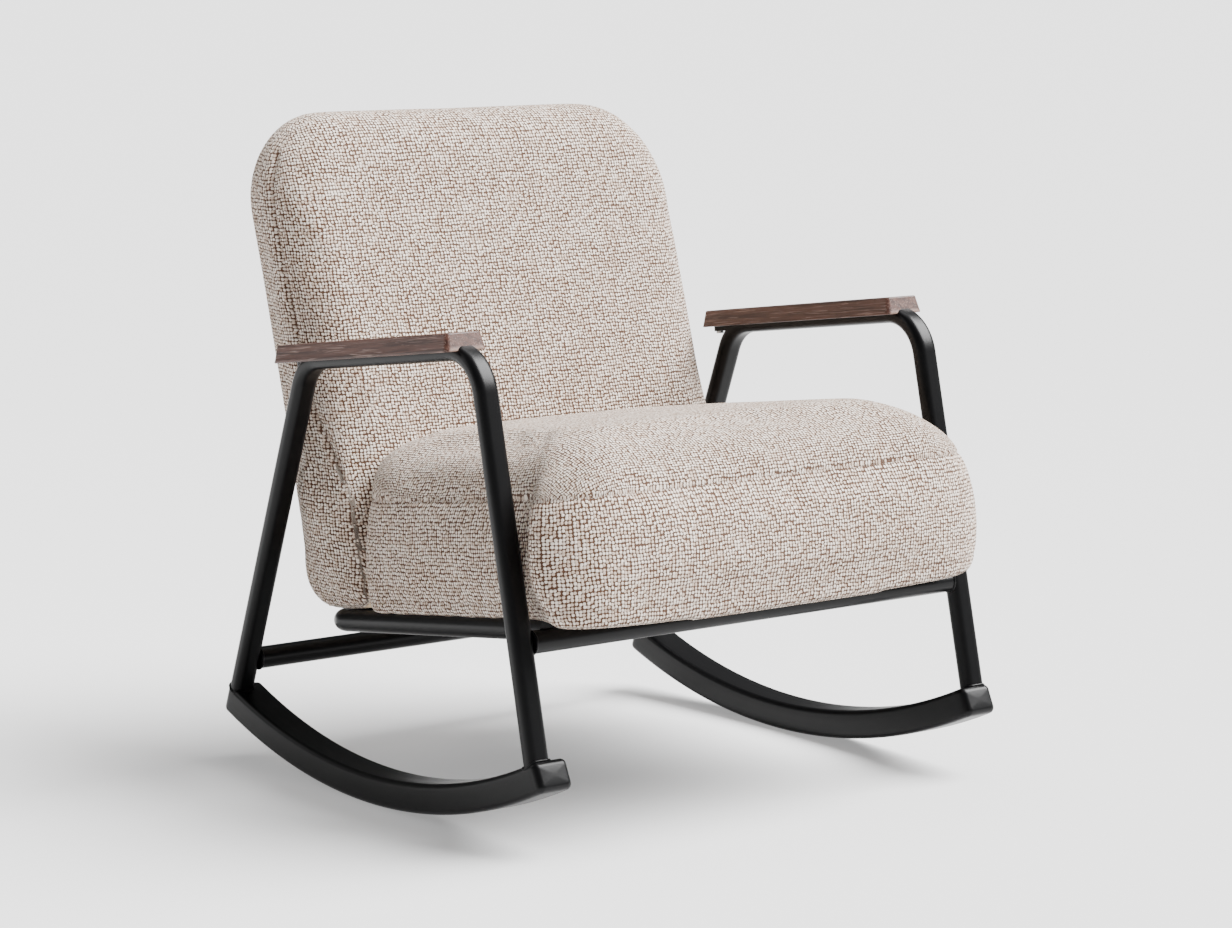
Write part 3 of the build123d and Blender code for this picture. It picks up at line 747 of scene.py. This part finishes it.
# ---------------------------------------------------------------- wooden arms
def wooden_arm(side):
    """Slab whose outline shrinks as it rises: a softened lower edge, sides drafted by
    the tangent of the draft, and an upper edge rounded along a quarter circle."""
    ease = np.radians(np.linspace(0, 90, 6))
    levels = [(0.0, 0.0010), (0.0004, 0.0003), (0.0012, 0.0)]
    shoulder = pad_thick - pad_edge
    for share in np.linspace(0, 1, 8)[1:]:
        rise = 0.0012 + share * (shoulder - 0.0012)
        levels.append((rise, rise * math.tan(pad_draft)))
    drawn_in = shoulder * math.tan(pad_draft)
    for turned in ease[1:]:
        rise = shoulder + pad_edge * math.sin(turned)
        levels.append((rise, drawn_in + pad_edge * (1 - math.cos(turned))))
    levels += [(pad_thick, drawn_in + pad_edge + 0.004)]
    rings = []
    for rise, inset in levels:
        corner = pad_corner - inset * 0.5
        outline = round_outline(pad_wide / 2 - inset, pad_long / 2 - inset, corner, 8, 12)
        x = side * leg_x + outline[:, 0]
        along = outline[:, 1] + pad_shift
        back = along * math.cos(tilt) + rise * math.sin(tilt)
        up = arm_height - along * math.sin(tilt) + rise * math.cos(tilt)
        rings.append(np.stack((x, contact_y + back, up), axis=-1))
    return np.array(rings)


for name, side in sides.items():
    arm = mesh_piece(f"wooden_arm_{name}", wooden_arm(side), oak, sharp=50.0)
    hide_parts(f"arm_pad_{name}")


# ---------------------------------------------------------------- padded pieces
def plump(piece, held, voxel, swell):
    """Evens the closed skin's mesh out and blows it up as cloth for twenty steps: every point
    moves at most swell from where it was, and points where held is 1 stay."""
    remesh = piece.modifiers.new("even_mesh", "REMESH")
    remesh.mode = "VOXEL"
    remesh.voxel_size = voxel
    fix_modifiers(piece)
    rest = read_points(piece.data)
    pinned = piece.vertex_groups.new(name="held")
    for step, weight in enumerate(np.linspace(0, 1, 5)[1:]):
        chosen = np.flatnonzero(np.round(held(rest) * 4) == step + 1)
        pinned.add([int(i) for i in chosen], float(weight), "REPLACE")
    blown = piece.modifiers.new("filling", "CLOTH")
    settings = blown.settings
    settings.quality = 5
    settings.mass = 0.35
    settings.tension_stiffness = 30
    settings.compression_stiffness = 30
    settings.shear_stiffness = 15
    settings.bending_stiffness = 4
    settings.use_pressure = True
    settings.uniform_pressure_force = 4.0
    settings.vertex_group_mass = pinned.name
    settings.effector_weights.gravity = 0.0
    blown.collision_settings.use_collision = False
    blown.point_cache.frame_start = 1
    blown.point_cache.frame_end = 20
    for step in range(1, 21):
        bpy.context.scene.frame_set(step)
    fix_modifiers(piece)
    piece.vertex_groups.clear()
    move = read_points(piece.data) - rest
    far = np.linalg.norm(move, axis=1, keepdims=True)
    write_points(piece.data, rest + move * np.minimum(1, swell / np.maximum(far, 1e-9)))
    bpy.context.scene.frame_set(1)
    even_out(piece.data, 6)


def fix_modifiers(piece):
    """Swaps the mesh for what its modifiers make of it and removes them."""
    graph = bpy.context.evaluated_depsgraph_get()
    made = bpy.data.meshes.new_from_object(piece.evaluated_get(graph), depsgraph=graph)
    piece.modifiers.clear()
    old = piece.data
    made.name = old.name
    piece.data = made
    bpy.data.meshes.remove(old)


def even_out(mesh, rounds, amount=0.5):
    """Moves each point towards the mean of its neighbours, rounds times."""
    points, ends = read_points(mesh), read(mesh.edges, "vertices", 2, np.int32)
    number = np.bincount(ends.ravel(), minlength=len(points))[:, None]
    for _ in range(rounds):
        total = np.zeros_like(points)
        np.add.at(total, ends[:, 0], points[ends[:, 1]])
        np.add.at(total, ends[:, 1], points[ends[:, 0]])
        points += amount * (total / np.maximum(number, 1) - points)
    write_points(mesh, points)


def refine(piece):
    """One smooth subdivision, applied."""
    finer = piece.modifiers.new("finer", "SUBSURF")
    finer.levels = finer.render_levels = 1
    fix_modifiers(piece)


def read_normals(mesh):
    """The normal at every point."""
    return read(mesh.vertex_normals, "vector", 3).astype(float)


def lay_cloth(mesh, where):
    """Cloth coordinates at every face corner. where(points, normals, centres) gives them
    from each corner's point and normal and the middle of the face that it belongs to."""
    corners = read(mesh.loops, "vertex_index", 1, np.int32)[:, 0]
    totals = read(mesh.polygons, "loop_total", 1, np.int32)[:, 0]
    centres = np.repeat(read(mesh.polygons, "center", 3).astype(float), totals, axis=0)
    laid = where(read_points(mesh)[corners], read_normals(mesh)[corners], centres)
    layer = mesh.uv_layers.new(name="cloth")
    layer.data.foreach_set("uv", laid.astype(np.float32).ravel())


def store_seam_shade(mesh, amount):
    """Stores how deep in a seam each point is, from 0 to 1, as the weight of its painted seam
    shade.
    """
    stored = mesh.attributes.new("seam", "FLOAT", "POINT")
    stored.data.foreach_set("value", amount.astype(np.float32))


def finish_padding(piece, where, seam_lines):
    """Presses the seams into the finished skin, paints shade along them and lays the cloth on it.
    seam_lines gives, for points and normals, pairs of distance from a line and its depth."""
    mesh = piece.data
    points, normals = read_points(mesh), read_normals(mesh)
    painted_shade_weight = np.zeros(len(points))
    sunk = np.zeros(len(points))
    for distance, depth, wide in seam_lines(points, normals):
        press = np.exp(-np.square(distance / wide))
        sunk += depth * press
        # Painted shade along each seam line, stronger where the seam is pressed deeper.
        line = np.exp(-np.square(distance / (0.55 * wide)))
        painted_shade_weight = np.maximum(painted_shade_weight, line * np.minimum(1, depth / 0.0015))
    write_points(mesh, points - normals * sunk[:, None])
    store_seam_shade(mesh, np.clip(painted_shade_weight, 0, 1))
    lay_cloth(mesh, where)
    smooth(mesh)


# ---------------------------------------------------------------- seat cushion
hem_rise = 0.013
skirt = 0.005
corner_swell = 0.031


def front_droop(across, along):
    """How far the lower front edge hangs: 4 mm at the corners and 14 mm in the middle."""
    inner = 1 - np.clip(np.abs(across) / seat_half, 0, 1) ** 4
    return (0.004 + 0.010 * inner) * smooth_step(-0.270, -0.335, along)


def seat_meets_back(rise):
    """How far down the seat the back's front face is at a rise, plus 8 mm."""
    lean = back_recline * math.cos(tilt) - math.sin(tilt)
    return (back_foot + rise * lean) / (math.cos(tilt) + back_recline * math.sin(tilt)) + 0.008


def seat_outline(inset, rise):
    """Plan of the cushion at a rise: round front corners, and a rear end that follows the
    back's front face, its corner radius growing by half the rise."""
    rear = seat_meets_back(rise)
    front = seat_front + inset
    half_long = (rear - front) / 2
    corner = max(front_round - 0.5 * inset, 0.012)
    ahead = round_outline(seat_half - inset, half_long, corner, 12, 14)
    tucked = min(rear_round + 0.5 * max(rise, 0.0), 0.105)
    behind = round_outline(seat_half - inset, half_long, tucked, 12, 14)
    return np.where(ahead[:, 1:] < 0, ahead, behind) + (0.0, (rear + front) / 2)


def swollen_corners(points):
    """Front corners pushed outwards ahead of the legs' front faces, by smooth steps of
    the distance ahead and of the rise past the seam, and the cube of the share of the
    half width."""
    ahead = leg_back(points[..., 2], True) - 0.012 - (points[..., 1] - contact_y)
    rise = to_seat(points)[..., 2]
    swell = smooth_step(-0.004, 0.044, ahead) * smooth_step(boxing + 0.050, boxing - 0.010, rise)
    moved = points.copy()
    moved[..., 0] += corner_swell * swell * (points[..., 0] / seat_half) ** 3
    return moved


def seat_rings():
    """Boxed cushion as shrinking outlines: flat underside, rolled lower edge, a side
    that swells by a sine between hem and top seam, and a crown that rises along a
    quarter of a superellipse and then as a shallow dome."""
    levels = [(0.0, 0.10), (0.0, 0.030), (-0.0005, 0.018)]
    for turned in np.radians(np.linspace(0, 90, 7)):
        levels.append((-skirt + 0.014 * (1 - math.cos(turned)), 0.010 * (1 - math.sin(turned))))
    low = levels[-1][0]
    for share in np.linspace(0, 1, 13)[1:]:
        rise = low + share * (boxing - low)
        levels.append((rise, -0.0065 * math.sin(math.pi * share) ** 0.8 + 0.001 * share))
    for share in np.linspace(0, 1, 16)[1:]:
        turned = share * math.pi / 2
        inset = crown_inset * (1 - math.cos(turned) ** 0.78)
        levels.append((boxing + (crown - 0.004) * math.sin(turned) ** 0.85, inset))
    rings = []
    for rise, inset in levels:
        plan = seat_outline(inset, rise)
        rings.append(np.column_stack((plan, np.full(len(plan), rise))))
    shoulder = rings[-1]
    middle = shoulder.mean(0)
    for share in np.linspace(1, 0, 8)[1:-1]:
        inner = middle + (shoulder - middle) * share
        inner[:, 2] += 0.004 * (1 - share**2)
        rings.append(inner)
    rings = np.array(rings)
    low_share = 1 - smooth_step(0.010, 0.090, rings[..., 2])
    rings[..., 2] -= low_share * front_droop(rings[..., 0], rings[..., 1])
    return swollen_corners(from_seat(rings))


def seat_held(points):
    """1 on the underside and against the back, 0 elsewhere."""
    _, along, rise = np.moveaxis(to_seat(points), -1, 0)
    under = 1 - smooth_step(0.004, 0.020, rise)
    behind = smooth_step(-0.040, -0.012, along - seat_meets_back(rise))
    return np.maximum(under, behind)


def round_the_edge(across, along):
    """Distance along the cushion's outline from the middle of its front, left positive:
    straight front, quarter circle about the swollen corner, straight side."""
    corner = front_round + 0.022
    flat = seat_half + corner_swell - corner
    ahead = seat_front - 0.006 + corner
    turned = np.arctan2(np.maximum(np.abs(across) - flat, 1e-6), np.maximum(ahead - along, 1e-6))
    length = np.where(np.abs(across) < flat, np.abs(across), flat + corner * turned)
    side = flat + corner * math.pi / 2 + (along - ahead)
    return np.sign(across) * np.where(along > ahead, side, length)


def seat_cloth(points, normals, centres):
    """Boxing: outline distance and rise. Top and underside: across and along, plus the
    way down the shoulder in the direction that the shoulder faces."""
    across, along, rise = np.moveaxis(to_seat(points), -1, 0)
    face_rise = to_seat(centres)[:, 2]
    facing = to_seat(normals + centres) - to_seat(centres)
    drop = (boxing + crown - rise) * 0.7
    top = np.column_stack((across + facing[:, 0] * drop, along + facing[:, 1] * drop))
    band = np.column_stack((round_the_edge(across, along), rise))
    under = np.column_stack((across, along))
    on_top = (face_rise > boxing)[:, None]
    below = ((facing[:, 2] < -0.8) & (face_rise < 0.012))[:, None]
    return np.where(on_top, top + (3.0, 1.0), np.where(below, under + (7.0, 2.0), band))


def seat_seams(points, normals):
    """Top seam at the boxing's upper edge and hem above its lower one, on the sides."""
    across, along, rise = np.moveaxis(to_seat(points), -1, 0)
    facing = to_seat(normals + points) - to_seat(points)
    upright = smooth_step(0.75, 0.55, facing[:, 2]) * smooth_step(-0.9, -0.6, facing[:, 2])
    off = (1 - upright) * 0.05
    yield np.abs(rise - boxing) + off, 0.0020, 0.0028
    hem = hem_rise - 0.9 * front_droop(across, along)
    yield np.abs(rise - hem) + off, 0.0012, 0.0021


seat_cushion = mesh_piece("seat_cushion", seat_rings(), boucle)
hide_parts("seat_cover", "seat_foam")
plump(seat_cushion, seat_held, 0.0055, 0.007)
refine(seat_cushion)
finish_padding(seat_cushion, seat_cloth, seat_seams)


# ---------------------------------------------------------------- back cushion
def back_front(up):
    """Front face of the back, behind the contact, at a height."""
    return back_foot + (up - seat_height) * back_recline


def back_rear(up):
    """Rear face of the back, behind the contact, at a height."""
    return back_rear_foot + (up - seat_height) * back_rear_lean


def back_outline(side_inset, top_inset, low_inset):
    """Front view of the back as (across, share of its height): straight sides, a round
    top with its own corner radius, and a small radius at the foot. Beside the seat the
    sides' inset fades to 15 %, so that the side panel stays flat and wide there."""
    half_high = (back_top - seat_height) / 2
    outline = round_outline(back_half, half_high, 0.020, 10, 16)
    top = round_outline(back_half, half_high, back_round, 10, 16)
    outline = np.where(outline[:, 1:] > 0, top, outline)
    share = (outline[:, 1] + half_high) / (2 * half_high)
    side_inset = side_inset * (0.15 + 0.85 * smooth_step(0.16, 0.46, share))
    across = outline[:, 0] * (back_half - side_inset) / back_half
    tall = back_top - seat_height
    share = (low_inset + share * (tall - low_inset - top_inset)) / tall
    return across, share


def back_rings():
    """Padded back as outlines from its rear face to its front: each has a depth from
    rear (0) to front (1) and its own insets, which follow quarter circles at the edges."""
    levels = [(0.0, 0.16, 0.16, 0.16), (0.0, 0.06, 0.075, 0.075)]
    for turned in np.radians(np.linspace(0, 90, 8)):
        gone = 1 - math.sin(turned)
        depth = 0.34 * (1 - math.cos(turned))
        side = 0.013 * (1 - math.sqrt(1 - max(0.0, 1 - depth / 0.11) ** 2))
        levels.append((depth, side, 0.043 * gone, 0.040 * gone))
    for share in np.linspace(0, 1, 6)[1:-1]:
        bulge = -0.004 * math.sin(math.pi * share)
        levels.append((0.34 + share * 0.30, bulge, 0.0, 0.0))
    for turned in np.radians(np.linspace(0, 90, 12)):
        gone = 1 - math.cos(turned) ** 0.9
        levels.append((0.64 + 0.36 * math.sin(turned), 0.036 * gone, 0.045 * gone, 0.010 * gone))
    rings = []
    for depth, side_inset, top_inset, low_inset in levels:
        across, share = back_outline(side_inset, top_inset, low_inset)
        rings.append(np.column_stack((across, share, np.full(len(across), depth))))
    flat = rings[-1]
    middle = flat.mean(0)
    for left in np.linspace(1, 0, 9)[1:-1]:
        rings.append(middle + (flat - middle) * left)
    return back_place(np.array(rings))


def back_place(rings):
    """The part's frame from (across, share of height, depth): the height runs from the tilted
    seat to the top, and the depth from the rear face to the front face plus its crown."""
    across, share, depth = np.moveaxis(rings, -1, 0)
    up = seat_height + share * (back_top - seat_height)
    for _ in range(3):
        front = back_front(up) - back_crown(across, share)
        back = back_rear(up) * (1 - depth) + front * depth
        foot = seat_height - back * slope
        up = foot + share * (back_top - foot)
    return np.stack((across, contact_y + back, up), axis=-1)


def back_crown(across, share):
    """How far the front stands out: 16 mm, falling to the sides as 1 - x^2 and to top
    and bottom as a sine."""
    wide = np.clip(1 - np.square(across / back_half), 0, 1)
    tall = np.sin(np.pi * np.clip(0.12 + 0.80 * share, 0, 1))
    return 0.016 * wide * tall


def back_coordinates(points):
    """(across, height along the back, depth from rear 0 to front 1) of points."""
    up = points[..., 2]
    back = points[..., 1] - contact_y
    front, rear = back_front(up), back_rear(up)
    depth = (rear - back) / np.maximum(rear - front, 0.02)
    return points[..., 0], (up - seat_height) / math.cos(math.atan(back_recline)), depth


def back_held(points):
    """1 at the foot, where the back stands on the seat frame, 0 elsewhere."""
    rise = to_seat(points)[..., 2]
    return 1 - smooth_step(0.004, 0.025, rise)


def back_cloth(points, normals, centres):
    """Front and rear panels: across and height, plus the way round the edge that they
    face. Side border: depth and height."""
    across, tall, depth = back_coordinates(points)
    _, _, face_depth = back_coordinates(centres)
    thick = back_rear(points[:, 2]) - back_front(points[:, 2])
    way = np.where(face_depth > 0.5, 1 - depth, depth) * thick * 0.7
    upward = normals[:, 2] * math.cos(math.atan(back_recline)) + normals[:, 1] * back_recline
    flat = np.column_stack((across + normals[:, 0] * way, tall + upward * way))
    side = np.column_stack((-depth * thick * np.sign(across), tall))
    over = np.column_stack((across, tall + depth * thick))
    border = np.where((np.abs(normals[:, 0]) > 0.6)[:, None], side, over)
    on_border = (face_depth > back_rear_seam) & (face_depth < back_seam(tall))
    on_border &= np.abs(normals[:, 0]) + np.abs(upward) > 0.5
    return np.where(on_border[:, None], border + (5.0, 2.0), flat)


back_rear_seam = 0.08


def back_seam(tall):
    """Depth of the front seam, from rear 0 to front 1: 0.70 above the seat, 1 at the foot."""
    return 1.0 - 0.30 * smooth_step(0.10, 0.25, tall)


def back_seams(points, normals):
    """Seams where the side border meets the front panel and the rear one, and the hem."""
    _, tall, depth = back_coordinates(points)
    thick = back_rear(points[:, 2]) - back_front(points[:, 2])
    rise = to_seat(points)[..., 2]
    sideways = smooth_step(0.55, 0.8, np.abs(normals[:, 0]))
    yield np.abs(depth - back_seam(tall)) * thick + (1 - sideways) * 0.03, 0.0026, 0.0040
    yield np.abs(rise - hem_rise) + (1 - sideways) * 0.03, 0.0012, 0.0022


back_cushion = mesh_piece("back_cushion", back_rings(), boucle)
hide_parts("back_cover", "back_foam")
plump(back_cushion, back_held, 0.0055, 0.006)
refine(back_cushion)
finish_padding(back_cushion, back_cloth, back_seams)


# ---------------------------------------------------------------- lining under the seat
def lining_sheet():
    """Thin lining stretched under the seat, sagging by 3 mm times (1 - x^2)(1 - y^2)."""
    low, high = (np.array(c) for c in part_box("dust_cover"))
    front = to_seat(np.array((0.0, low[1], high[2])))[1]
    rear = to_seat(np.array((0.0, high[1], low[2])))[1]
    shares = np.linspace(-1, 1, 41)
    x, y = np.meshgrid(shares, shares)
    along = (front + rear) / 2 + y * (rear - front) / 2
    sag = -0.0010 - 0.003 * (1 - x**2) * (1 - y**2)
    return from_seat(np.stack((x * high[0], along, sag), axis=-1))


def sheet_piece(name, grid, material, thick):
    """Open grid of points as a sheet with a thickness."""
    rows, count = grid.shape[:2]
    here = np.arange(rows * count).reshape(rows, count)
    quads = np.stack((here[:-1, :-1], here[:-1, 1:], here[1:, 1:], here[1:, :-1]), axis=-1)
    mesh = bpy.data.meshes.new(name)
    mesh.from_pydata(grid.reshape(-1, 3).tolist(), [], quads.reshape(-1, 4).tolist())
    piece = linked(name, mesh)
    mesh.materials.append(material)
    wall = piece.modifiers.new("wall", "SOLIDIFY")
    wall.thickness = thick
    wall.offset = 0.0
    fix_modifiers(piece)
    face_outwards(piece.data)
    smooth(piece.data)
    return on_the_body(piece)


lining_piece = sheet_piece("seat_lining", lining_sheet(), lining, 0.0008)
# The lining gets no painted seam shade.
store_seam_shade(lining_piece.data, np.zeros(len(lining_piece.data.vertices)))
lay_cloth(lining_piece.data, lambda points, normals, centres: points[:, :2])
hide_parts("dust_cover")

# ---------------------------------------------------------------- parts kept from the CAD
# The third colour is the painted shade in the gaps between the knots.
yarns = opaque((0.20, 0.19, 0.17), (0.12, 0.11, 0.10), (0.05, 0.045, 0.04))
webbing = cloth("elastic_webbing", yarns, pitch=0.0022, unevenness=0.1, relief=0.5)
kept = {
    zinc: ("arm_screws", "deck_screws", "bracket_screws", "back_bracket"),
    plywood: ("seat_board", "back_frame"),
    webbing: ("seat_webbing", "back_webbing"),
}
for node, piece in frame["nodes"].items():
    chosen = next((m for m, starts in kept.items() if node.startswith(starts)), steel)
    piece.data.materials.clear()
    piece.data.materials.append(chosen)

# ---------------------------------------------------------------- floor, light and camera
lamp_target = np.array((0.0, 0.0, 0.40))
floor_reach = 60.0


def studio_floor():
    """Pale floor that glows a little, reaching far beyond the chair."""
    material, graph, shader, _ = new_material("studio_floor")
    graph.fill(shader, Base_Color=(0.60, 0.60, 0.60, 1), Roughness=0.8, Specular_IOR_Level=0.2)
    graph.fill(shader, Emission_Color=(1, 1, 1, 1), Emission_Strength=0.35)
    mesh = bpy.data.meshes.new("studio_floor")
    signs = ((-1, -1), (1, -1), (1, 1), (-1, 1))
    corners = [(x * floor_reach, y * floor_reach, 0) for x, y in signs]
    mesh.from_pydata(corners, [], [(0, 1, 2, 3)])
    mesh.materials.append(material)
    linked("studio_floor", mesh)


def direction_to(azimuth, elevation):
    """Unit vector towards an azimuth (0 is the front, 90 the chair's left side) and an
    elevation, in degrees."""
    a, e = math.radians(azimuth), math.radians(elevation)
    return np.array((math.sin(a) * math.cos(e), -math.cos(a) * math.cos(e), math.sin(e)))


def light_from(name, kind, azimuth, elevation, distance, energy, size):
    """Lamp that looks at the chair's middle from an azimuth and an elevation. size is a
    sun's angle in degrees, or an area lamp's two sides."""
    data = bpy.data.lights.new(name, kind)
    data.energy = energy
    if kind == "SUN":
        data.angle = math.radians(size[0])
    else:
        data.shape = "RECTANGLE"
        data.size, data.size_y = size
    lamp = linked(name, data)
    towards = direction_to(azimuth, elevation)
    lamp.location = lamp_target + towards * distance
    lamp.rotation_euler = look_along(-towards).to_euler()


def look_along(direction):
    """Rotation that points -Z along a direction and keeps Y up."""
    return Vector(direction).to_track_quat("-Z", "Y")


def studio_light():
    """Soft key from the chair's front left, a lower one from behind its right side, a
    soft top light and an even dim surround."""
    world = bpy.data.worlds.new("studio")
    world.use_nodes = True
    world.node_tree.nodes["Background"].inputs["Color"].default_value = (1, 1, 1, 1)
    world.node_tree.nodes["Background"].inputs["Strength"].default_value = 0.15
    bpy.context.scene.world = world
    light_from("key", "SUN", 60.0, 50.0, 4.0, 16.0, (46.0,))
    light_from("side", "AREA", -128.0, 24.0, 2.6, 12.0, (0.9, 1.4))
    light_from("top", "AREA", 150.0, 72.0, 2.8, 25.0, (1.6, 1.2))


def set_camera(azimuth, elevation, distance, lens):
    """Camera at an azimuth and elevation from the middle of its view, which is shifted a
    little, to its right and downwards, from a point in the chair."""
    data = bpy.data.cameras.new("camera")
    data.lens = lens
    data.sensor_width = 36.0
    camera = linked("camera", data)
    back = direction_to(azimuth, elevation)
    right = direction_to(azimuth + 90.0, 0.0)
    upward = np.cross(back, right)
    aside, below = 0.0203, 0.0595
    middle = np.array((0.0, contact_y - 0.013, 0.4133)) + aside * right - below * upward
    camera.location = middle + back * distance
    camera.rotation_mode = "QUATERNION"
    camera.rotation_quaternion = look_along(-back)
    bpy.context.scene.camera = camera


studio_floor()
studio_light()
set_camera(-37.45, 8.46, 4.029, 102.27)
